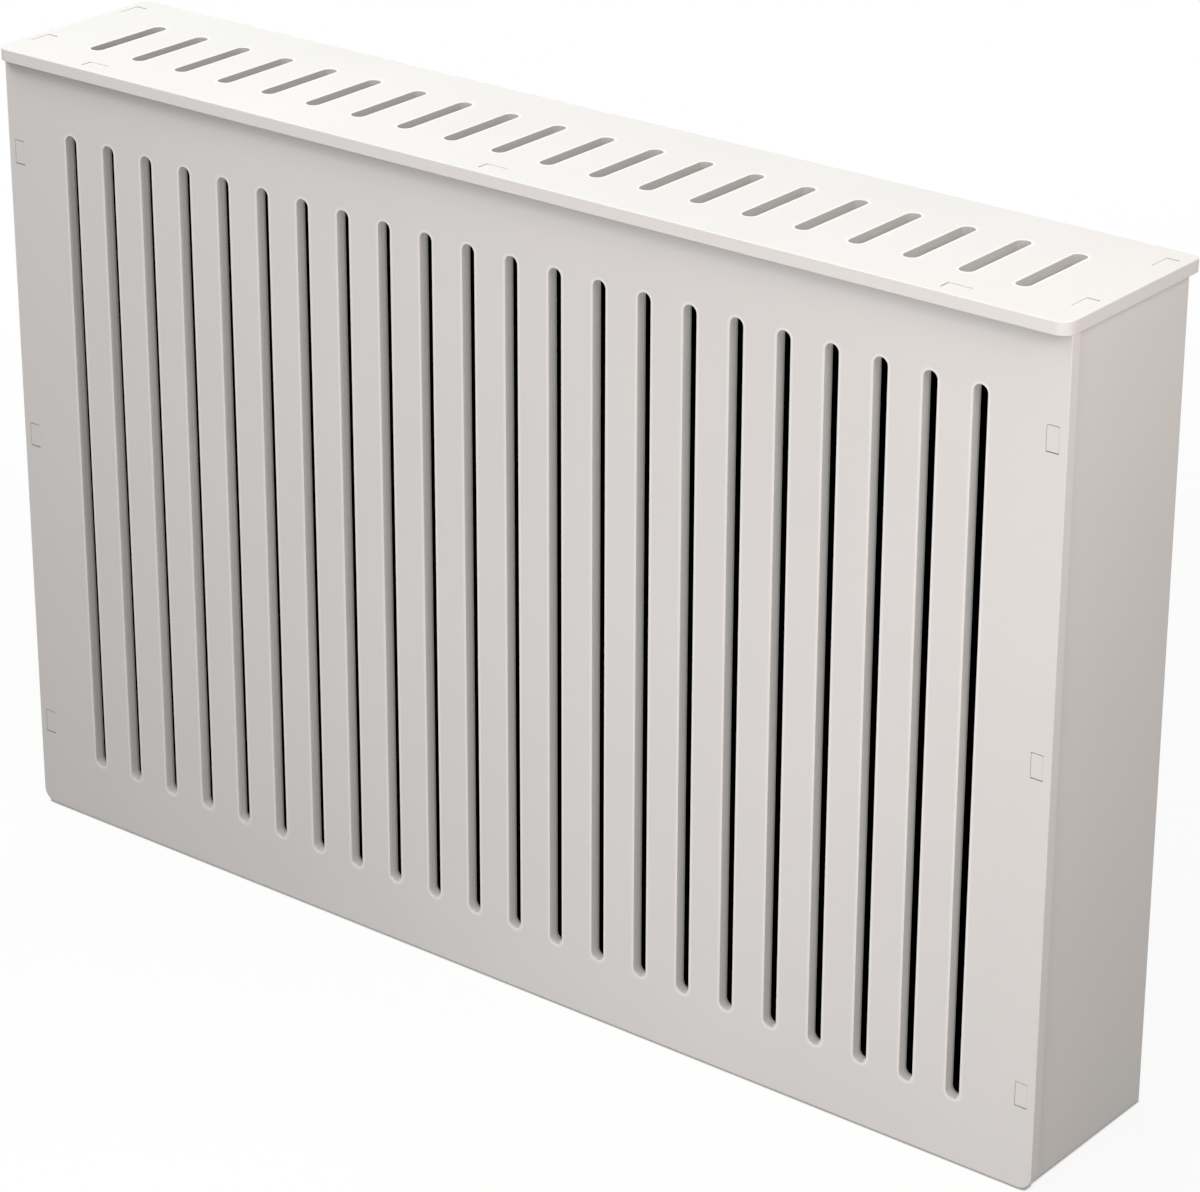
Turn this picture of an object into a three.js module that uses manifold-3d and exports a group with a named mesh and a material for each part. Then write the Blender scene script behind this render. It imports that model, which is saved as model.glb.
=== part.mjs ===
import * as THREE from 'three';
import { mergeVertices } from 'three/addons/utils/BufferGeometryUtils.js';
import Module from 'manifold-3d';

const wasm = await Module();
wasm.setup();

// Radiator cover: four slotted white boards that plug together by tabs, and two wall brackets.
// Millimetres, +Z up. The front faces -Y and the wall is at the lid's back edge, on the +Y side.
// The origin is the middle of the cover's footprint, at floor level.

// Overall size, which is the lid's width and depth and the height above the floor
const overallWidth = 900;
const overallHeight = 600;
const overallDepth = 153;

// The board that all four panels are cut from, and the seam where two boards meet flat
const boardThickness = 9;
const seamClearance = 0.1;

// How far the lid stands past the front panel, at the front and at each end
const lidFrontOverhang = 7.7;
const lidEndOverhang = 1;
const lidFrontCornerRadius = 10;
const lidBackCornerRadius = 6;

// The side panels stand inside the front panel's ends and stop short of the wall
const sidePanelInset = 6;
const sidePanelWallGap = 2.5;
const frontBottomCornerRadius = 10;

// Air slots, which have round ends and are all cut with one width
const slotWidth = 10.5;
const frontSlotCount = 22;
const frontSlotEndMargin = 57.6;
const frontSlotEdgeMargin = 46.5;
const lidSlotCount = 20;
const lidSlotEndMargin = 53.9;
const lidSlotFrontMargin = 38.5;
const lidSlotBackMargin = 42.5;

// Tabs and the mortises that they plug into
const tabLength = 17;
const tabEndClearance = 0.5;
const tabSideClearance = 0.15;
const tabRecess = 0.2;
// Centres of the front panel's top tabs, from the middle, as shares of its width
const frontTabShares = [-0.404, 0, 0.404];
// Centres of a side panel's top tabs, from its front edge, as shares of its depth
const sideTopTabShares = [0.155, 0.835];
// Centres of a side panel's front tabs, from the floor, as shares of its height
const sideFrontTabShares = [0.116, 0.513, 0.883];

// Wall brackets, bent from steel strip, each with a leg on the side panel and one on the wall
const bracketStripWidth = 20;
const bracketThickness = 2;
const bracketLegLength = 30;
const bracketBendRadius = 3;
const bracketHoleDiameter = 4.5;
const bracketHoleEndMargin = 7;
const bracketHoleSpacing = 12;
const bracketHeightShare = 0.85;

// Pan-head screws that hold each bracket to its side panel
const screwDiameter = 3.5;
const screwLength = 9.5;
const screwTipLength = 2;
const screwHeadDiameter = 7;
const screwHeadHeight = 2.4;
const screwHeadRimHeight = 0.9;
const screwRecessLength = 4;
const screwRecessWidth = 1;
const screwRecessDepth = 1.3;
const pilotClearance = 0.3;

// Steps of a quarter turn of each kind of round, and the overrun of every cut
const cornerSteps = 8;
const slotEndSteps = 6;
const bendSteps = 5;
const holeSides = 24;
const screwSides = 24;
const domeSteps = 5;
const cutOverrun = 1;

// Places worked out from the sizes above
const quarterTurn = Math.PI / 2;
const frontWidth = overallWidth - 2 * lidEndOverhang;
const panelHeight = overallHeight - boardThickness - seamClearance;
const wallY = overallDepth / 2;
const lidFrontY = wallY - overallDepth;
const frontFaceY = lidFrontY + lidFrontOverhang;
const frontBackY = frontFaceY + boardThickness;
const sideFrontY = frontBackY + seamClearance;
const sideDepth = wallY - sidePanelWallGap - sideFrontY;
const sideOuterX = frontWidth / 2 - sidePanelInset;
const sideInnerX = sideOuterX - boardThickness;
const tabReach = seamClearance + boardThickness - tabRecess;
const mortiseLength = tabLength + 2 * tabEndClearance;
const mortiseWidth = boardThickness + 2 * tabSideClearance;
const bracketX = sideInnerX - seamClearance;
const bracketZ = panelHeight * bracketHeightShare;
const firstBracketHole = bracketHoleEndMargin - bracketLegLength;
const bracketHolePlaces = [firstBracketHole, firstBracketHole + bracketHoleSpacing];
const screwSeatX = bracketX - bracketThickness - seamClearance;

// Axes for boards that are drawn flat and then stood up: across, up, and the way they are thick
const xAxis = new THREE.Vector3(1, 0, 0);
const yAxis = new THREE.Vector3(0, 1, 0);
const zAxis = new THREE.Vector3(0, 0, 1);
const facingUp = new THREE.Matrix4().makeBasis(xAxis, yAxis, zAxis);
const facingFront = new THREE.Matrix4().makeBasis(xAxis, zAxis, yAxis.clone().negate());
const facingRight = new THREE.Matrix4().makeBasis(yAxis, zAxis, xAxis);

function lacqueredBoard() {
  return new THREE.MeshStandardMaterial({ color: 0xf3f2ef, roughness: 0.35, metalness: 0 });
}

function zincPlatedSteel() {
  return new THREE.MeshStandardMaterial({ color: 0xb8bbbd, roughness: 0.42, metalness: 1 });
}

// Points of an arc from one angle to another, both ends included
function arc(centreU, centreV, radius, from, to, steps) {
  return Array.from({ length: steps + 1 }, (_, i) => {
    const angle = from + ((to - from) * i) / steps;
    return new THREE.Vector2(centreU + radius * Math.cos(angle), centreV + radius * Math.sin(angle));
  });
}

// A slot with round ends that runs along V
function slotOutline(centreU, lowV, highV) {
  const radius = slotWidth / 2;
  const steps = 2 * slotEndSteps;
  return [
    ...arc(centreU, lowV + radius, radius, -2 * quarterTurn, 0, steps),
    ...arc(centreU, highV - radius, radius, 0, 2 * quarterTurn, steps),
  ];
}

function rectangle(centreU, centreV, sizeU, sizeV) {
  return [[-1, -1], [1, -1], [1, 1], [-1, 1]].map(
    ([u, v]) => new THREE.Vector2(centreU + (u * sizeU) / 2, centreV + (v * sizeV) / 2),
  );
}

// One edge of a board, walked anticlockwise, with a tab at each given distance from its start
function edgeWithTabs(start, end, distances) {
  const along = end.clone().sub(start).normalize();
  const out = new THREE.Vector2(along.y, -along.x).multiplyScalar(tabReach);
  const points = [start];
  for (const distance of distances) {
    const near = start.clone().addScaledVector(along, distance - tabLength / 2);
    const far = near.clone().addScaledVector(along, tabLength);
    points.push(near, near.clone().add(out), far.clone().add(out), far);
  }
  return points;
}

// Middles of equally spaced slots that fill a width between two equal end margins
function slotPlaces(count, width, endMargin) {
  const first = endMargin + slotWidth / 2 - width / 2;
  const pitch = (-2 * first) / (count - 1);
  return Array.from({ length: count }, (_, i) => first + i * pitch);
}

// A closed geometry as a solid for cutting: vertices merged, triangles with no area left out
function solidOf(geometry) {
  const bare = geometry.clone();
  bare.deleteAttribute('normal');
  bare.deleteAttribute('uv');
  const merged = mergeVertices(bare);
  const index = merged.index.array;
  const triangles = [];
  for (let i = 0; i < index.length; i += 3) {
    const [a, b, c] = index.slice(i, i + 3);
    if (a !== b && b !== c && c !== a) triangles.push(a, b, c);
  }
  return new wasm.Manifold(
    new wasm.Mesh({
      numProp: 3,
      vertProperties: new Float32Array(merged.attributes.position.array),
      triVerts: new Uint32Array(triangles),
    }),
  );
}

// A geometry with every given cutter taken out of it
function cut(geometry, cutters) {
  const solid = cutters.reduce((left, cutter) => left.subtract(solidOf(cutter)), solidOf(geometry));
  const mesh = solid.getMesh();
  const result = new THREE.BufferGeometry();
  result.setAttribute('position', new THREE.BufferAttribute(mesh.vertProperties, 3));
  result.setIndex(new THREE.BufferAttribute(mesh.triVerts, 1));
  result.computeVertexNormals();
  return result;
}

function extrude(outline, depth) {
  return new THREE.ExtrudeGeometry(new THREE.Shape(outline), { depth, bevelEnabled: false });
}

// A board cut to an outline, with openings cut through it, turned to face the given way
function cutBoard(outline, openings, facing) {
  const cutters = openings.map((points) =>
    extrude(points, boardThickness + 2 * cutOverrun).translate(0, 0, -cutOverrun),
  );
  return cut(extrude(outline, boardThickness), cutters).applyMatrix4(facing);
}

// A round cutter that runs along X from one place to another
function drillAlongX(diameter, fromX, toX, y, z) {
  const geometry = new THREE.CylinderGeometry(diameter / 2, diameter / 2, toX - fromX, holeSides);
  return geometry.rotateZ(quarterTurn).translate((fromX + toX) / 2, y, z);
}

function frontPanelGeometry() {
  const right = frontWidth / 2;
  const radius = frontBottomCornerRadius;
  const topRight = new THREE.Vector2(right, panelHeight);
  const topLeft = new THREE.Vector2(-right, panelHeight);
  const tabDistances = frontTabShares.map((share) => right - share * frontWidth).reverse();
  const outline = [
    ...arc(right - radius, radius, radius, -quarterTurn, 0, cornerSteps),
    ...edgeWithTabs(topRight, topLeft, tabDistances),
    topLeft,
    ...arc(radius - right, radius, radius, -2 * quarterTurn, -quarterTurn, cornerSteps),
  ];
  const slots = slotPlaces(frontSlotCount, frontWidth, frontSlotEndMargin).map((x) =>
    slotOutline(x, frontSlotEdgeMargin, panelHeight - frontSlotEdgeMargin),
  );
  const mortiseX = (sideOuterX + sideInnerX) / 2;
  const mortises = [-mortiseX, mortiseX].flatMap((x) =>
    sideFrontTabShares.map((share) => rectangle(x, share * panelHeight, mortiseWidth, mortiseLength)),
  );
  return cutBoard(outline, [...slots, ...mortises], facingFront);
}

function lidGeometry() {
  const right = overallWidth / 2;
  const corner = (signX, radius, y, turns) => {
    const start = turns * quarterTurn;
    return arc(signX * (right - radius), y, radius, start, start + quarterTurn, cornerSteps);
  };
  const frontCentreY = lidFrontY + lidFrontCornerRadius;
  const backCentreY = wallY - lidBackCornerRadius;
  const outline = [
    ...corner(1, lidFrontCornerRadius, frontCentreY, -1),
    ...corner(1, lidBackCornerRadius, backCentreY, 0),
    ...corner(-1, lidBackCornerRadius, backCentreY, 1),
    ...corner(-1, lidFrontCornerRadius, frontCentreY, 2),
  ];
  const slots = slotPlaces(lidSlotCount, overallWidth, lidSlotEndMargin).map((x) =>
    slotOutline(x, lidFrontY + lidSlotFrontMargin, wallY - lidSlotBackMargin),
  );
  const frontMortiseY = (frontFaceY + frontBackY) / 2;
  const frontMortises = frontTabShares.map((share) =>
    rectangle(share * frontWidth, frontMortiseY, mortiseLength, mortiseWidth),
  );
  const sideMortiseX = (sideOuterX + sideInnerX) / 2;
  const sideMortiseYs = sideTopTabShares.map((share) => sideFrontY + share * sideDepth);
  const sideMortises = [-sideMortiseX, sideMortiseX].flatMap((x) =>
    sideMortiseYs.map((y) => rectangle(x, y, mortiseWidth, mortiseLength)),
  );
  return cutBoard(outline, [...slots, ...frontMortises, ...sideMortises], facingUp);
}

// A side panel, drawn from its front edge to its back edge, with blind pilot holes in its inner face
function sidePanelGeometry(inside) {
  const bottomFront = new THREE.Vector2(0, 0);
  const bottomBack = new THREE.Vector2(sideDepth, 0);
  const topBack = new THREE.Vector2(sideDepth, panelHeight);
  const topFront = new THREE.Vector2(0, panelHeight);
  const topDistances = sideTopTabShares.map((share) => (1 - share) * sideDepth).reverse();
  const frontDistances = sideFrontTabShares.map((share) => (1 - share) * panelHeight).reverse();
  const outline = [
    bottomBack,
    ...edgeWithTabs(topBack, topFront, topDistances),
    ...edgeWithTabs(topFront, bottomFront, frontDistances),
    bottomFront,
  ];
  const board = cutBoard(outline, [], facingRight).translate(-boardThickness / 2, 0, 0);
  const innerFaceX = (inside * boardThickness) / 2;
  const pilotDepth = screwLength + pilotClearance - bracketThickness - 2 * seamClearance;
  const pilotEnds = [innerFaceX - inside * pilotDepth, innerFaceX + inside * cutOverrun];
  const fromX = Math.min(...pilotEnds);
  const toX = Math.max(...pilotEnds);
  const pilotDiameter = screwDiameter + 2 * pilotClearance;
  const pilots = bracketHolePlaces.map((place) =>
    drillAlongX(pilotDiameter, fromX, toX, wallY - sideFrontY + place, bracketZ),
  );
  return cut(board, pilots);
}

// An L bracket: its outer corner is at the origin, one leg runs along -Y and the other along -X
function bracketGeometry() {
  const outer = bracketBendRadius;
  const inner = bracketBendRadius - bracketThickness;
  const outline = [
    new THREE.Vector2(-bracketThickness, -bracketLegLength),
    new THREE.Vector2(0, -bracketLegLength),
    ...arc(-outer, -outer, outer, 0, quarterTurn, bendSteps),
    new THREE.Vector2(-bracketLegLength, 0),
    new THREE.Vector2(-bracketLegLength, -bracketThickness),
    ...arc(-outer, -outer, inner, quarterTurn, 0, bendSteps),
  ];
  const strip = extrude(outline, bracketStripWidth).translate(0, 0, -bracketStripWidth / 2);
  const sideLegHoles = bracketHolePlaces.map((place) =>
    drillAlongX(bracketHoleDiameter, -bracketThickness - cutOverrun, cutOverrun, place, 0),
  );
  const wallLegHoles = sideLegHoles.map((hole) =>
    hole.clone().rotateZ(-quarterTurn).translate(0, -bracketThickness, 0),
  );
  return cut(strip, [...sideLegHoles, ...wallLegHoles]);
}

// A pan-head screw along +X, its head's underside at the origin, with a cross recess
function screwGeometry() {
  const headRadius = screwHeadDiameter / 2;
  const domeHeight = screwHeadHeight - screwHeadRimHeight;
  const dome = Array.from({ length: domeSteps + 1 }, (_, i) => {
    const angle = (quarterTurn * i) / domeSteps;
    return [headRadius * Math.cos(angle), -screwHeadRimHeight - domeHeight * Math.sin(angle)];
  });
  const profile = [
    [0, screwLength],
    [screwDiameter / 2, screwLength - screwTipLength],
    [screwDiameter / 2, 0],
    [headRadius, 0],
    ...dome.slice(0, -1),
    [0, -screwHeadHeight],
  ].map(([radius, along]) => new THREE.Vector2(radius, along));
  const body = new THREE.LatheGeometry(profile.reverse(), screwSides).rotateZ(-quarterTurn);
  const recess = (sizeY, sizeZ) => {
    const box = new THREE.BoxGeometry(screwRecessDepth + cutOverrun, sizeY, sizeZ);
    return box.translate((screwRecessDepth - cutOverrun) / 2 - screwHeadHeight, 0, 0);
  };
  const bars = [recess(screwRecessLength, screwRecessWidth), recess(screwRecessWidth, screwRecessLength)];
  return cut(body, bars);
}

const radiatorCover = new THREE.Group();

function addPiece(name, geometry, material, x, y, z) {
  const mesh = new THREE.Mesh(geometry, material);
  mesh.name = name;
  mesh.position.set(x, y, z);
  radiatorCover.add(mesh);
  return mesh;
}

addPiece('front_panel', frontPanelGeometry(), lacqueredBoard(), 0, frontBackY, 0);
addPiece('lid', lidGeometry(), lacqueredBoard(), 0, 0, overallHeight - boardThickness);

// The two ends are alike: the left one's bracket and screws are turned half round to face the other way
for (const [side, sign] of [['left', -1], ['right', 1]]) {
  const turn = sign < 0 ? 2 * quarterTurn : 0;
  const panelX = (sign * (sideOuterX + sideInnerX)) / 2;
  addPiece(`side_panel_${side}`, sidePanelGeometry(-sign), lacqueredBoard(), panelX, sideFrontY, 0);
  const bracket = addPiece(
    `wall_bracket_${side}`, bracketGeometry(), zincPlatedSteel(), sign * bracketX, wallY, bracketZ,
  );
  bracket.rotation.y = turn;
  bracketHolePlaces.forEach((place, i) => {
    const name = `bracket_screw_${side}_${i + 1}`;
    const screwX = sign * screwSeatX;
    const screw = addPiece(name, screwGeometry(), zincPlatedSteel(), screwX, wallY + place, bracketZ);
    screw.rotation.y = turn;
  });
}

export default radiatorCover;
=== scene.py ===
import math

import bpy
from mathutils import Matrix, Vector
from mathutils.geometry import delaunay_2d_cdt


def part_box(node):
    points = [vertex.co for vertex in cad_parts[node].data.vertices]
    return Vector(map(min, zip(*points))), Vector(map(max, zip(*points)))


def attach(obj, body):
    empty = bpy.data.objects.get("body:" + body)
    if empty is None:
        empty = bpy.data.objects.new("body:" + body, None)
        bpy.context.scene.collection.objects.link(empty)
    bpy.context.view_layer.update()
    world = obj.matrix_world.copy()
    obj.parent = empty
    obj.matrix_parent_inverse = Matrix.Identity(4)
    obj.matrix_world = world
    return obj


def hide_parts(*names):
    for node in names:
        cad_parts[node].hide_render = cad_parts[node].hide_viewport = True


# Radiator cover: white lacquered boards with softly rounded edges, and two zinc-plated wall brackets.
# The sizes of the boards' and pieces' edges are in millimetres, and everything else is in metres.

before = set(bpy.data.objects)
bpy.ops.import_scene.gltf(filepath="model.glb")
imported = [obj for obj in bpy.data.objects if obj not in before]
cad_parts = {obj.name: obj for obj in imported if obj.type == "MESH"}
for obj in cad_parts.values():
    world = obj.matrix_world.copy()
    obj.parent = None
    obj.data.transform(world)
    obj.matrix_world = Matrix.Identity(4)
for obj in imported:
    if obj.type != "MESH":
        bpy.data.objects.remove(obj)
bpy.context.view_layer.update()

MM = 0.001
X, Y, Z = range(3)
LOW, HIGH = range(2)

# Rounding of the boards' edges, in millimetres, and the steps of a quarter turn
EDGE_ROUNDING = 0.6
SLOT_ROUNDING = 0.4
JOINT_ROUNDING = 0.1
EDGE_STEPS = 4
# The lid's lower edges are rounded by this share of its upper ones
LID_LOW_SHARE = 0.45
# Width of the rim of painted highlight round each slot, in millimetres
HIGHLIGHT_RIM_WIDTH = 2.2
# The painted highlight's strength above and below a slot, and how much stronger it is on the slot's right
RIM_HIGHLIGHT_STRENGTH = 0.75
RIM_HIGHLIGHT_LEAN = 0.25
# Rounding of sharp corners as seen from the face, in millimetres, and the steps of each corner
CORNER_ROUNDING = 1.2
JOINT_CORNER_ROUNDING = 0.35
CORNER_STEPS = 4
SHARP_TURN = math.radians(50)
STRAIGHT_TURN = math.radians(0.5)
# A tab's side is shorter than this, and so is either side of a mortise, in millimetres
TAB_SIDE_LIMIT = 12
MORTISE_SIDE_LIMIT = 30
# Distance from a tab's root over which the edge goes back to its full rounding, in millimetres
TAB_ROOT_BLEND = 1.5
# How far the sharp edges of the brackets and screws are broken, in millimetres
METAL_EDGE_BREAK = 0.15
METAL_EDGE_STEPS = 2
# How exactly a face lies on the side of the board's box, in metres
FACE_TOLERANCE = 1e-6
# How exactly the points of a face are told apart, in millimetres, as decimals and as a distance
POINT_DIGITS = 3
CAP_TOLERANCE = 1e-5
# The kind of triangulation that keeps what lies inside the outlines
INSIDE_TRIANGLES = 1

# Camera: its place, its turn in degrees, its sensor and lens in millimetres, and its shift
CAMERA_PLACE = (1.6652, -2.0543, 1.4581)
CAMERA_TURN = (66.878, -0.147, 38.43)
CAMERA_SENSOR = 36
CAMERA_LENS = 125.4
CAMERA_SHIFT = -0.063


def make_camera():
    data = bpy.data.cameras.new("photo_camera")
    data.sensor_width = CAMERA_SENSOR
    data.lens = CAMERA_LENS
    data.shift_y = CAMERA_SHIFT
    camera = bpy.data.objects.new("photo_camera", data)
    camera.location = CAMERA_PLACE
    camera.rotation_euler = [math.radians(a) for a in CAMERA_TURN]
    bpy.context.scene.collection.objects.link(camera)
    bpy.context.scene.camera = camera


# Outlines of the boards

def turn_between(before, after):
    """Signed angle from one direction to the next, positive to the left."""
    return math.atan2(before.x * after.y - before.y * after.x, before.dot(after))


def directions(points):
    """Unit direction from each point to the next one, round a closed outline."""
    return [(q - p).normalized() for p, q in zip(points, points[1:] + points[:1])]


def signed_area(points):
    """Area inside a closed outline, positive where it runs to the left."""
    return sum(p.x * q.y - p.y * q.x for p, q in zip(points, points[1:] + points[:1])) / 2


def without_straight_points(points):
    ways = directions(points)
    return [p for i, p in enumerate(points) if abs(turn_between(ways[i - 1], ways[i])) > STRAIGHT_TURN]


def face_outlines(node, axis, side):
    """Closed outlines, in millimetres, of a board's flat face, with the board always on their left."""
    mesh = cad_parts[node].data
    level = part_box(node)[side][axis]
    across = [k for k in range(3) if k != axis]
    ways = set()
    for polygon in mesh.polygons:
        corners = [mesh.vertices[i].co for i in polygon.vertices]
        if all(abs(co[axis] - level) < FACE_TOLERANCE for co in corners):
            keys = [tuple(round(co[k] / MM, POINT_DIGITS) for k in across) for co in corners]
            ways.update(zip(keys, keys[1:] + keys[:1]))
    follows = {a: b for a, b in ways if (b, a) not in ways}
    outlines = []
    while follows:
        points, key = [], min(follows)
        while key in follows:
            points.append(Vector(key))
            key = follows.pop(key)
        outlines.append(without_straight_points(points))
    outlines.sort(key=lambda points: -abs(signed_area(points)))
    if signed_area(outlines[0]) < 0:
        outlines = [points[::-1] for points in outlines]
    return outlines


def fillet(corner, before, after, radius):
    """Points of an arc that rounds a corner between two directions."""
    turn = turn_between(before, after)
    reach = radius * math.tan(abs(turn) / 2)
    to_centre = Vector((-before.y, before.x)) * math.copysign(radius, turn)
    centre = corner - before * reach + to_centre
    angles = [turn * i / CORNER_STEPS for i in range(CORNER_STEPS + 1)]
    return [centre - Matrix.Rotation(angle, 2) @ to_centre for angle in angles]


def softened(points, is_outer):
    """An outline with its sharp corners rounded, as pairs of a point and its edge's rounding there."""
    ways = directions(points)
    turns = [turn_between(ways[i - 1], ways[i]) for i in range(len(points))]
    lengths = [(points[(i + 1) % len(points)] - p).length for i, p in enumerate(points)]
    spans = [max(p[k] for p in points) - min(p[k] for p in points) for k in range(2)]
    is_mortise = not is_outer and max(spans) < MORTISE_SIDE_LIMIT
    is_root = [is_outer and turn < -SHARP_TURN for turn in turns]
    result = []
    for i, point in enumerate(points):
        following = (i + 1) % len(points)
        on_tab = is_root[i] or (is_root[i - 1] and lengths[i - 1] < TAB_SIDE_LIMIT)
        on_tab = on_tab or (is_root[following] and lengths[i] < TAB_SIDE_LIMIT)
        is_joint = is_mortise or on_tab
        rounding = JOINT_ROUNDING if is_joint else EDGE_ROUNDING
        if is_root[i] and lengths[i - 1] > TAB_SIDE_LIMIT:
            result.append((point - ways[i - 1] * TAB_ROOT_BLEND, EDGE_ROUNDING))
        if abs(turns[i]) > SHARP_TURN:
            radius = JOINT_CORNER_ROUNDING if is_joint else CORNER_ROUNDING
            result += [(p, rounding) for p in fillet(point, ways[i - 1], ways[i], radius)]
        else:
            result.append((point, rounding))
        if is_root[i] and lengths[i] > TAB_SIDE_LIMIT:
            result.append((point + ways[i] * TAB_ROOT_BLEND, EDGE_ROUNDING))
    return result


def outward_and_inset(points):
    """For each point: the unit direction out of the board, and the step that insets both edges by 1."""
    ways = directions(points)
    found = []
    for i in range(len(points)):
        before, after = ways[i - 1], ways[i]
        weights = (points[i] - points[i - 1]).length, (points[(i + 1) % len(points)] - points[i]).length
        out = Vector((before.y, -before.x)) * weights[0] + Vector((after.y, -after.x)) * weights[1]
        inward = Vector((-before.y - after.y, before.x + after.x)) / (1 + before.dot(after))
        found.append((out.normalized(), inward))
    return found


# Boards

def edge_profile(highlight_rim):
    """Rings from an edge's low face to its high one, each as its end, step and margin on the face."""
    low_end = [(-1, step, 0) for step in range(EDGE_STEPS + 1)]
    high_end = [(1, step, 0) for step in range(EDGE_STEPS, -1, -1)]
    if not highlight_rim:
        return low_end + high_end
    return [(-1, 0, highlight_rim)] + low_end + high_end + [(1, 0, highlight_rim)]


class Board:
    """The places, normals, labels and faces of one board, in millimetres, gathered edge by edge."""

    def __init__(self, node, axis, side, low_share):
        self.axis, self.side, self.low_share = axis, side, low_share
        self.low, self.high = (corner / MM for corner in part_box(node))
        self.across = [k for k in range(3) if k != axis]
        self.places, self.normals, self.faces = [], [], []
        self.labels = {"machined": [], "in_opening": [], "in_joint": [], "highlight_rim": [], "depth": []}
        self.cap_points, self.cap_edges, self.cap_outline = [], [], []
        self.first_ring, self.last_ring = [], []

    def place(self, uv, w):
        """A vector from its two lengths across the board and the one through it."""
        co = Vector((0, 0, 0))
        co[self.across[0]], co[self.across[1]], co[self.axis] = uv.x, uv.y, w
        return co

    def add_edge(self, number, outline):
        """The rounded edge along one outline. The first is the board's own, and the rest are openings."""
        soft = softened(outline, number == 0)
        points = [p for p, _ in soft]
        roundings = [r for _, r in soft]
        is_slot = number > 0 and JOINT_ROUNDING not in roundings
        is_mortise = number > 0 and not is_slot
        if is_slot:
            roundings = [SLOT_ROUNDING] * len(points)
        # Slots get a flat rim on each face that carries a painted highlight
        highlight_rim = HIGHLIGHT_RIM_WIDTH if is_slot else 0
        profile = edge_profile(highlight_rim)
        sides = outward_and_inset(points)
        base = len(self.places)
        for end, step, margin in profile:
            angle = math.pi / 2 * step / EDGE_STEPS
            turned = step / EDGE_STEPS
            is_inside = (end > 0) == (self.side == LOW)
            for point, full_rounding, (out, inset) in zip(points, roundings, sides):
                rounding = full_rounding * (self.low_share if end < 0 else 1)
                drop = rounding * (1 - math.cos(angle))
                w = self.low[self.axis] + drop if end < 0 else self.high[self.axis] - drop
                uv = point + inset * (rounding * (1 - math.sin(angle)) + margin)
                self.places.append(self.place(uv, w))
                self.normals.append(self.place(out * math.sin(angle), end * math.cos(angle)).normalized())
                self.labels["machined"].append(0 if full_rounding == JOINT_ROUNDING else turned)
                self.labels["in_opening"].append(turned if is_slot else 0)
                self.labels["in_joint"].append(turned if is_mortise else 0)
                # Painted highlight: a lighter rim round each slot, stronger on the slot's right
                self.labels["highlight_rim"].append(RIM_HIGHLIGHT_STRENGTH - RIM_HIGHLIGHT_LEAN * out.x if is_slot and not margin else 0)
                # Painted shade: the slot walls darken towards the board's inner face
                self.labels["depth"].append(1 if is_slot and is_inside else 0)
        self.join_rings(base, len(points), len(profile))
        insets = [inset * (rounding + highlight_rim) for rounding, (_, inset) in zip(roundings, sides)]
        self.add_cap_outline(number, [p + inset for p, inset in zip(points, insets)])

    def join_rings(self, base, count, rings):
        """Four-sided faces between each ring of an edge and the next."""
        for ring in range(rings - 1):
            for i in range(count):
                a = base + ring * count + i
                b = base + ring * count + (i + 1) % count
                self.faces.append((a, b, b + count, a + count))
        self.first_ring += [base + i for i in range(count)]
        self.last_ring += [base + (rings - 1) * count + i for i in range(count)]

    def add_cap_outline(self, number, points):
        start, count = len(self.cap_points), len(points)
        self.cap_points += points
        self.cap_edges += [(start + i, start + (i + 1) % count) for i in range(count)]
        self.cap_outline += [number] * count

    def add_caps(self):
        """The two flat faces, without the triangles that fill an opening."""
        result = delaunay_2d_cdt(self.cap_points, self.cap_edges, [], INSIDE_TRIANGLES, CAP_TOLERANCE)
        triangles, origins = result[2], result[3]
        for triangle in triangles:
            corners = [origins[i][0] for i in triangle]
            outlines = {self.cap_outline[i] for i in corners}
            if len(outlines) > 1 or outlines == {0}:
                self.faces.append([self.last_ring[i] for i in corners])
                self.faces.append([self.first_ring[i] for i in corners[::-1]])
        if self.axis == Y:
            self.faces = [face[::-1] for face in self.faces]

    def make_object(self, name):
        mesh = bpy.data.meshes.new(name)
        mesh.from_pydata([p * MM for p in self.places], [], self.faces)
        mesh.shade_smooth()
        mesh.normals_split_custom_set_from_vertices(self.normals)
        for label, values in self.labels.items():
            mesh.attributes.new(label, "FLOAT", "POINT").data.foreach_set("value", values)
        board = bpy.data.objects.new(name, mesh)
        bpy.context.scene.collection.objects.link(board)
        return board


def rounded_board(name, node, axis, side, body, low_share=1):
    """A board with the CAD node's own outline and openings, its edges rounded, in place of that node.

    Its low face's edges are rounded by low_share of what its high face's are.
    """
    shape = Board(node, axis, side, low_share)
    for number, outline in enumerate(face_outlines(node, axis, side)):
        shape.add_edge(number, outline)
    shape.add_caps()
    board = shape.make_object(name)
    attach(board, body)
    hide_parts(node)
    return board


def soften_metal(node):
    """Breaks the sharp edges of a bracket or screw, and shades its curved faces smoothly."""
    node.data.shade_smooth()
    bevel = node.modifiers.new("broken_edges", "BEVEL")
    bevel.width = METAL_EDGE_BREAK * MM
    bevel.segments = METAL_EDGE_STEPS
    bevel.limit_method = "ANGLE"
    bevel.angle_limit = SHARP_TURN
    bevel.harden_normals = True


# Materials

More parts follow.
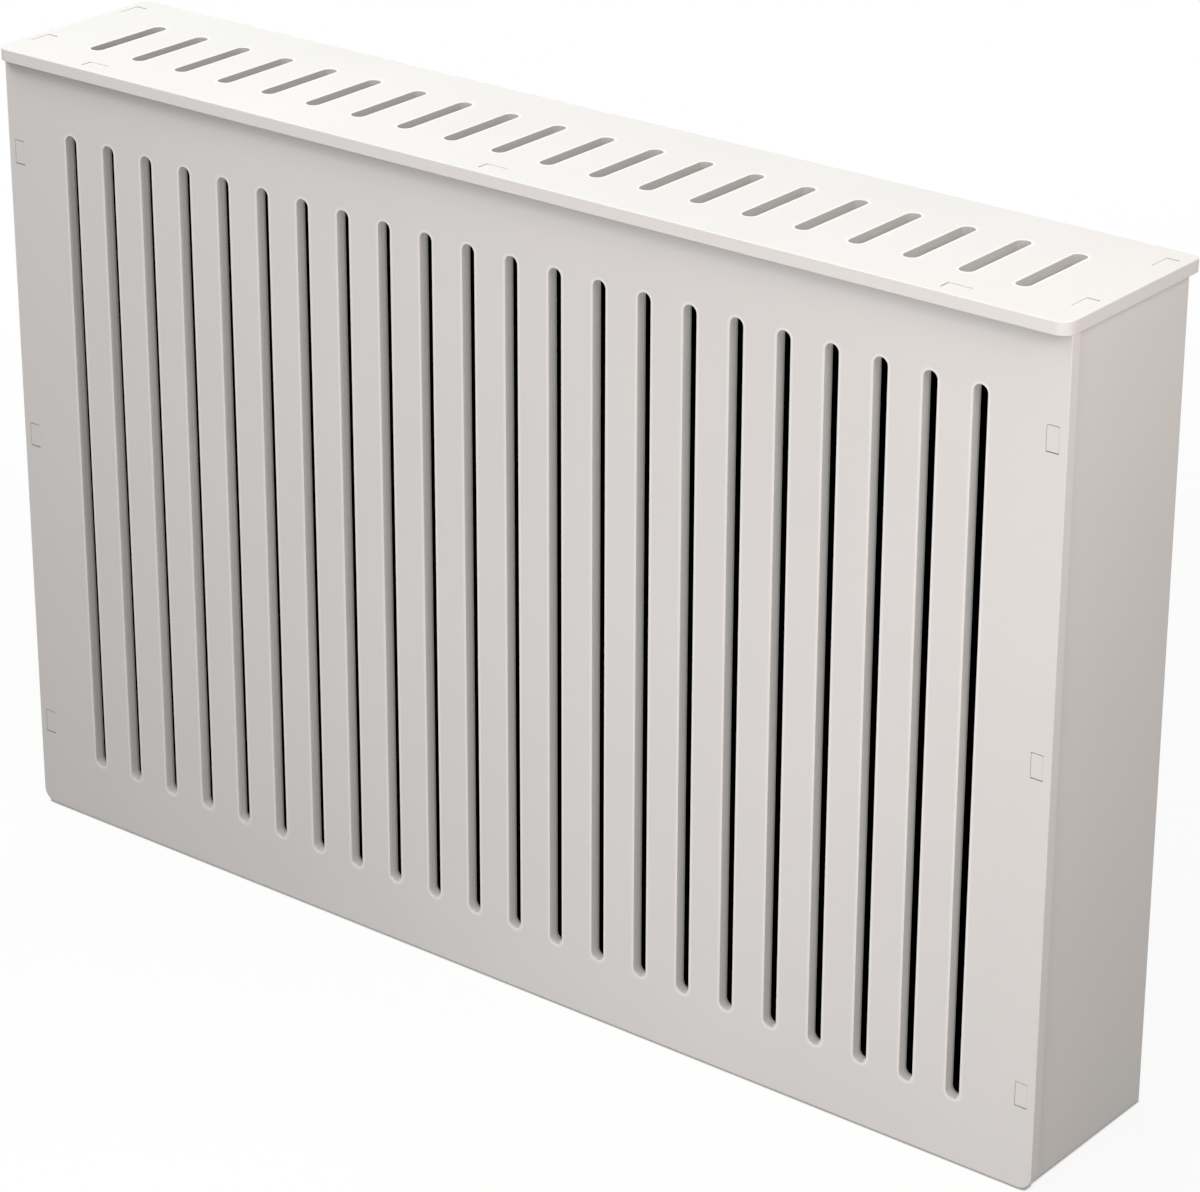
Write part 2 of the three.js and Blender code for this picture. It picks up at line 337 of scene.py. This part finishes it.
class Nodes:
    """Short names for making and joining the nodes of a material or a world."""

    def __init__(self, owner):
        owner.use_nodes = True
        self.tree = owner.node_tree
        self.tree.nodes.clear()

    def add(self, kind, inputs=None, **settings):
        node = self.tree.nodes.new(kind)
        for key, value in settings.items():
            setattr(node, key, value)
        for key, value in (inputs or {}).items():
            if isinstance(value, bpy.types.NodeSocket):
                self.tree.links.new(value, node.inputs[key])
            else:
                node.inputs[key].default_value = value
        return node

    def noise(self, coordinates, pattern):
        return self.add("ShaderNodeTexNoise", {"Vector": coordinates, **pattern}).outputs["Fac"]

    def ramp(self, value, span, result=(0.0, 1.0)):
        """The value's place in a span, brought to a range of results."""
        inputs = {"Value": value, "From Min": span[0], "From Max": span[1]}
        inputs.update({"To Min": result[0], "To Max": result[1]})
        return self.add("ShaderNodeMapRange", inputs).outputs["Result"]

    def math(self, operation, a, b, **settings):
        return self.add("ShaderNodeMath", {0: a, 1: b}, operation=operation, **settings).outputs[0]

    def mix(self, factor, a, b):
        """One colour turning to another. The colour sockets of this node are only told apart by number."""
        return self.add("ShaderNodeMix", {0: factor, 6: a, 7: b}, data_type="RGBA").outputs[2]

    def mix_shaders(self, factor, a, b):
        return self.add("ShaderNodeMixShader", {0: factor, 1: a, 2: b}).outputs["Shader"]

    def label(self, name):
        """A number that the board's points carry."""
        return self.add("ShaderNodeAttribute", attribute_name=name).outputs["Fac"]


# The span that a noise stays in for the most part
NOISE_SPAN = 0.3, 0.7

# Lacquer: its slow drift, its orange peel and the board's fibres under it, with waves to the metre as scale
DRIFT = {"Scale": 7.0, "Detail": 3.0}
PEEL = {"Scale": 520.0, "Detail": 1.5}
FIBRE = {"Scale": 2100.0, "Detail": 3.0, "Roughness": 0.6}
FACE_COLOURS = (0.825, 0.82, 0.812, 1), (0.85, 0.845, 0.837, 1)
# Painted highlight: the colour of the rim round each slot
RIM_HIGHLIGHT_COLOUR = (0.965, 0.96, 0.955, 1)
EDGE_COLOURS = (0.87, 0.861, 0.853, 1), (0.9, 0.891, 0.883, 1)
# Slot walls are darker than the faces: thinner lacquer, and partly painted shade
WALL_LACQUER_AND_SHADE_COLOURS = (0.59, 0.587, 0.58, 1), (0.636, 0.633, 0.627, 1)
# Painted shade: the dark that the slot walls turn to towards the board's inner face
DEEP_WALL_SHADE_COLOUR = (0.26, 0.255, 0.245, 1)
JOINT_COLOUR = (0.45, 0.43, 0.4, 1)
# Where on its way across the rim the painted highlight fades, and where through the board the painted shade
# on the slot walls sets in
RIM_HIGHLIGHT_SPAN = 0.0, 0.5
SHADE_DEPTH_SPAN = 0.7, 0.98
FACE_ROUGHNESS = 0.33, 0.39
EDGE_EXTRA_ROUGHNESS = 0.12
SPECULAR_LEVEL = 0.4
PEEL_SHARE = 0.6
FIBRE_SHARE = 0.5
LACQUER_BUMP = {"Strength": 0.35, "Distance": 0.00004}


def white_lacquer():
    """Satin white lacquer on fibreboard with faint orange peel, a painted highlight round the slots, thinner
    lacquer on their walls, and painted shade deep in the slots.
    """
    material = bpy.data.materials.new("white_lacquer")
    n = Nodes(material)
    where = n.add("ShaderNodeTexCoord").outputs["Object"]
    edge = n.label("machined")
    drift = n.noise(where, DRIFT)
    peel = n.noise(where, PEEL)
    fibre = n.noise(where, FIBRE)
    spots = n.ramp(fibre, NOISE_SPAN)
    face = n.mix(n.ramp(drift, NOISE_SPAN), *FACE_COLOURS)
    # Painted highlight: the face turns lighter on the rim round each slot
    face = n.mix(n.ramp(n.label("highlight_rim"), RIM_HIGHLIGHT_SPAN), face, RIM_HIGHLIGHT_COLOUR)
    # Slot walls: thinner lacquer, darkened by painted shade that deepens towards the inner face
    wall_with_painted_shade = n.mix(n.ramp(n.label("depth"), SHADE_DEPTH_SPAN), n.mix(spots, *WALL_LACQUER_AND_SHADE_COLOURS), DEEP_WALL_SHADE_COLOUR)
    colour = n.mix(edge, face, n.mix(spots, *EDGE_COLOURS))
    colour = n.mix(n.label("in_opening"), colour, wall_with_painted_shade)
    colour = n.mix(n.label("in_joint"), colour, JOINT_COLOUR)
    extra = n.math("MULTIPLY", edge, EDGE_EXTRA_ROUGHNESS)
    roughness = n.math("ADD", n.ramp(drift, NOISE_SPAN, FACE_ROUGHNESS), extra)
    bare_fibre = n.math("MULTIPLY", n.math("MULTIPLY", edge, fibre), FIBRE_SHARE)
    height = n.math("ADD", n.math("MULTIPLY", peel, PEEL_SHARE), bare_fibre)
    bump = n.add("ShaderNodeBump", {"Height": height, **LACQUER_BUMP})
    shader = n.add("ShaderNodeBsdfPrincipled", {
        "Base Color": colour, "Roughness": roughness, "Normal": bump.outputs["Normal"],
        "Specular IOR Level": SPECULAR_LEVEL,
    })
    n.add("ShaderNodeOutputMaterial", {"Surface": shader.outputs["BSDF"]})
    return material


# Zinc: its drawn lines, clouds and dull spots, with waves to the metre as scale
ZINC_LINES = {"Scale": 260.0, "Detail": 4.0, "Roughness": 0.6}
ZINC_CLOUD = {"Scale": 120.0, "Detail": 3.0}
ZINC_SPOTS = {"Scale": 700.0, "Detail": 1.0}
LINE_STRETCH = (1.0, 1.0, 14.0)
ZINC_COLOURS = (0.56, 0.575, 0.6, 1), (0.72, 0.715, 0.69, 1)
DULL_ZINC_COLOUR = (0.42, 0.43, 0.44, 1)
CLOUD_SPAN = 0.35, 0.7
SPOT_SPAN = 0.62, 0.7
SPOT_SHARES = 0.0, 0.5
ZINC_ROUGHNESS = 0.3, 0.45
LINE_ROUGHNESS = 0.12
ZINC_BUMP = {"Strength": 0.4, "Distance": 0.00005}


def zinc_plate():
    """Bright zinc plating on rolled strip: fine drawn lines, cloudy passivation and dull spots."""
    material = bpy.data.materials.new("zinc_plate")
    n = Nodes(material)
    where = n.add("ShaderNodeTexCoord").outputs["Object"]
    stretched = n.add("ShaderNodeMapping", {"Vector": where, "Scale": LINE_STRETCH}).outputs["Vector"]
    lines = n.noise(stretched, ZINC_LINES)
    cloud = n.noise(where, ZINC_CLOUD)
    spots = n.noise(where, ZINC_SPOTS)
    colour = n.mix(n.ramp(cloud, CLOUD_SPAN), *ZINC_COLOURS)
    colour = n.mix(n.ramp(spots, SPOT_SPAN, SPOT_SHARES), colour, DULL_ZINC_COLOUR)
    extra = n.math("MULTIPLY", lines, LINE_ROUGHNESS)
    roughness = n.math("ADD", n.ramp(cloud, NOISE_SPAN, ZINC_ROUGHNESS), extra)
    bump = n.add("ShaderNodeBump", {"Height": lines, **ZINC_BUMP})
    shader = n.add("ShaderNodeBsdfPrincipled", {
        "Base Color": colour, "Metallic": 1.0, "Roughness": roughness, "Normal": bump.outputs["Normal"],
    })
    n.add("ShaderNodeOutputMaterial", {"Surface": shader.outputs["BSDF"]})
    return material


# Stage

# Half the floor's side, and how far it lies under the boards
FLOOR_REACH = 6.0
FLOOR_DROP = 0.0005
# What the floor throws back on the object, and what it shows of the light that falls on it
FLOOR_BOUNCE_COLOUR = (0.12, 0.12, 0.12, 1)
FLOOR_SHOWN_COLOUR = (0.9, 0.9, 0.9, 1)
# The floor's own white takes over from its shown light with the distance from the middle
GLOW_SPAN = 0.8, 1.8
GLOW_SHARES = 0.88, 1.0
# How near the object has to be for the floor's painted contact shadow, a dark line where they touch
CONTACT_DISTANCE = 0.0026
CONTACT_SAMPLES = 8
CONTACT_SPAN = 0.5, 0.85
CONTACT_GLOW = 0.3, 1.0
# Distance from the boards of the black sheet inside, a painted shade that stands in for the dark inside the
# cover
BACKDROP_GAP = 0.001
WORLD_LEVEL = 0.14
WHITE = (1, 1, 1, 1)
BLACK = (0, 0, 0, 1)


def seen_directly(n):
    """1 for what the camera, or a reflection, sees of a surface, and 0 for the light that it gives."""
    path = n.add("ShaderNodeLightPath").outputs
    seen = n.math("ADD", path["Is Camera Ray"], path["Is Glossy Ray"])
    return n.math("ADD", seen, path["Is Transmission Ray"], use_clamp=True)


def stage_sheet(name, corners, material):
    """A flat four-cornered sheet that is part of the stage and not of the object."""
    mesh = bpy.data.meshes.new(name)
    mesh.from_pydata(corners, [], [(0, 1, 2, 3)])
    mesh.materials.append(material)
    sheet = bpy.data.objects.new(name, mesh)
    bpy.context.scene.collection.objects.link(sheet)
    return sheet


def make_floor():
    """A pale floor that keeps the object's soft shadow, with a painted contact shadow in a thin dark line
    where they touch.
    """
    material = bpy.data.materials.new("white_floor")
    n = Nodes(material)
    bounce = n.add("ShaderNodeBsdfDiffuse", {"Color": FLOOR_BOUNCE_COLOUR}).outputs["BSDF"]
    lit = n.add("ShaderNodeBsdfDiffuse", {"Color": FLOOR_SHOWN_COLOUR}).outputs["BSDF"]
    contact = n.add("ShaderNodeAmbientOcclusion", {"Distance": CONTACT_DISTANCE}, samples=CONTACT_SAMPLES)
    # Painted contact shadow: the floor's glow darkens where the boards are near
    glow_with_contact_shadow = n.ramp(contact.outputs["AO"], CONTACT_SPAN, CONTACT_GLOW)
    glow = n.add("ShaderNodeEmission", {"Color": glow_with_contact_shadow}).outputs["Emission"]
    where = n.add("ShaderNodeTexCoord").outputs["Object"]
    distance = n.add("ShaderNodeVectorMath", {0: where}, operation="LENGTH").outputs["Value"]
    shown = n.mix_shaders(n.ramp(distance, GLOW_SPAN, GLOW_SHARES), lit, glow)
    n.add("ShaderNodeOutputMaterial", {"Surface": n.mix_shaders(seen_directly(n), bounce, shown)})
    corners = [(x * FLOOR_REACH, y * FLOOR_REACH, 0) for x, y in [(-1, -1), (1, -1), (1, 1), (-1, 1)]]
    stage_sheet("floor", corners, material).location.z = -FLOOR_DROP


def make_painted_shade_inside():
    """A black sheet close behind the front panel, painted shade standing in for the dark inside the cover:
    clear from behind, and it gives and takes no light.
    """
    material = bpy.data.materials.new("painted_shade_inside")
    n = Nodes(material)
    dark = n.add("ShaderNodeEmission", {"Color": BLACK, "Strength": 0.0}).outputs["Emission"]
    clear = n.add("ShaderNodeBsdfTransparent").outputs["BSDF"]
    is_back = n.add("ShaderNodeNewGeometry").outputs["Backfacing"]
    n.add("ShaderNodeOutputMaterial", {"Surface": n.mix_shaders(is_back, dark, clear)})
    half = -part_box("side_panel_left")[HIGH].x - BACKDROP_GAP
    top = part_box("lid")[LOW].z - BACKDROP_GAP
    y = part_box("front_panel")[HIGH].y + BACKDROP_GAP
    corners = [(-half, y, BACKDROP_GAP), (half, y, BACKDROP_GAP), (half, y, top), (-half, y, top)]
    backdrop = stage_sheet("painted_shade_inside", corners, material)
    for ray in ("diffuse", "glossy", "transmission", "volume_scatter", "shadow"):
        setattr(backdrop, "visible_" + ray, False)


def make_world():
    """A faint even light all round that is plain white where it is seen."""
    world = bpy.data.worlds.new("studio")
    n = Nodes(world)
    light = n.add("ShaderNodeBackground", {"Color": WHITE, "Strength": WORLD_LEVEL}).outputs["Background"]
    white = n.add("ShaderNodeBackground", {"Color": WHITE}).outputs["Background"]
    n.add("ShaderNodeOutputWorld", {"Surface": n.mix_shaders(seen_directly(n), light, white)})
    bpy.context.scene.world = world


# Soft square lamps: name, place, the point it faces, side, watts and colour
LAMPS = [
    ("back", (-1.4, 1.6, 0.35), (0, 0, 0.3), 0.5, 22, (1, 1, 1)),
    ("front_high", (0, -1.6, 1.9), (0, 0, 0.3), 1.2, 8.9, (1, 0.957, 0.983)),
    ("front_top_left", (-0.9, -0.9, 2.0), (-0.2, 0, 0.3), 0.8, 12.7, (1, 0.94, 0.877)),
    ("front_low", (0.2, -0.75, 0.12), (0.15, 0, 0.12), 0.45, 1.15, (1, 0.947, 0.97)),
    ("right_low", (1.2, -1.4, 0.3), (0.2, 0, 0.2), 0.9, 9.2, (1, 0.964, 0.898)),
    ("right_high", (1.3, -0.35, 1.2), (0.45, 0, 0.5), 0.6, 7.5, (1, 0.881, 0.826)),
    ("top", (0, 0.1, 2.2), (0, 0, 0.4), 1.6, 11.4, (0.956, 0.997, 1)),
    ("top_left", (-1.2, 0, 1.9), (0, 0, 0.4), 1.0, 5.6, (0.921, 1, 0.895)),
]


def make_lamps():
    for name, place, target, side, watts, colour in LAMPS:
        data = bpy.data.lights.new("lamp_" + name, "AREA")
        data.shape = "SQUARE"
        data.size = side
        data.energy = watts
        data.color = colour
        lamp = bpy.data.objects.new("lamp_" + name, data)
        lamp.location = place
        lamp.visible_camera = False
        lamp.rotation_euler = (Vector(target) - Vector(place)).to_track_quat("-Z", "Y").to_euler()
        bpy.context.scene.collection.objects.link(lamp)


def make_cover():
    """The four boards in lacquer, and the CAD's brackets and screws in zinc."""
    lacquer = white_lacquer()
    zinc = zinc_plate()
    boards = [
        rounded_board("front_board", "front_panel", Y, LOW, "carcass"),
        rounded_board("lid_board", "lid", Z, HIGH, "lid", LID_LOW_SHARE),
        rounded_board("left_end_board", "side_panel_left", X, LOW, "carcass"),
        rounded_board("right_end_board", "side_panel_right", X, HIGH, "carcass"),
    ]
    for board in boards:
        board.data.materials.append(lacquer)
    for name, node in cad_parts.items():
        if name.startswith(("wall_bracket", "bracket_screw")):
            soften_metal(node)
            node.data.materials.clear()
            node.data.materials.append(zinc)


make_camera()
make_cover()
make_floor()
# Painted shade: a black sheet inside the cover
make_painted_shade_inside()
make_world()
make_lamps()

bpy.context.scene.view_settings.view_transform = "Standard"
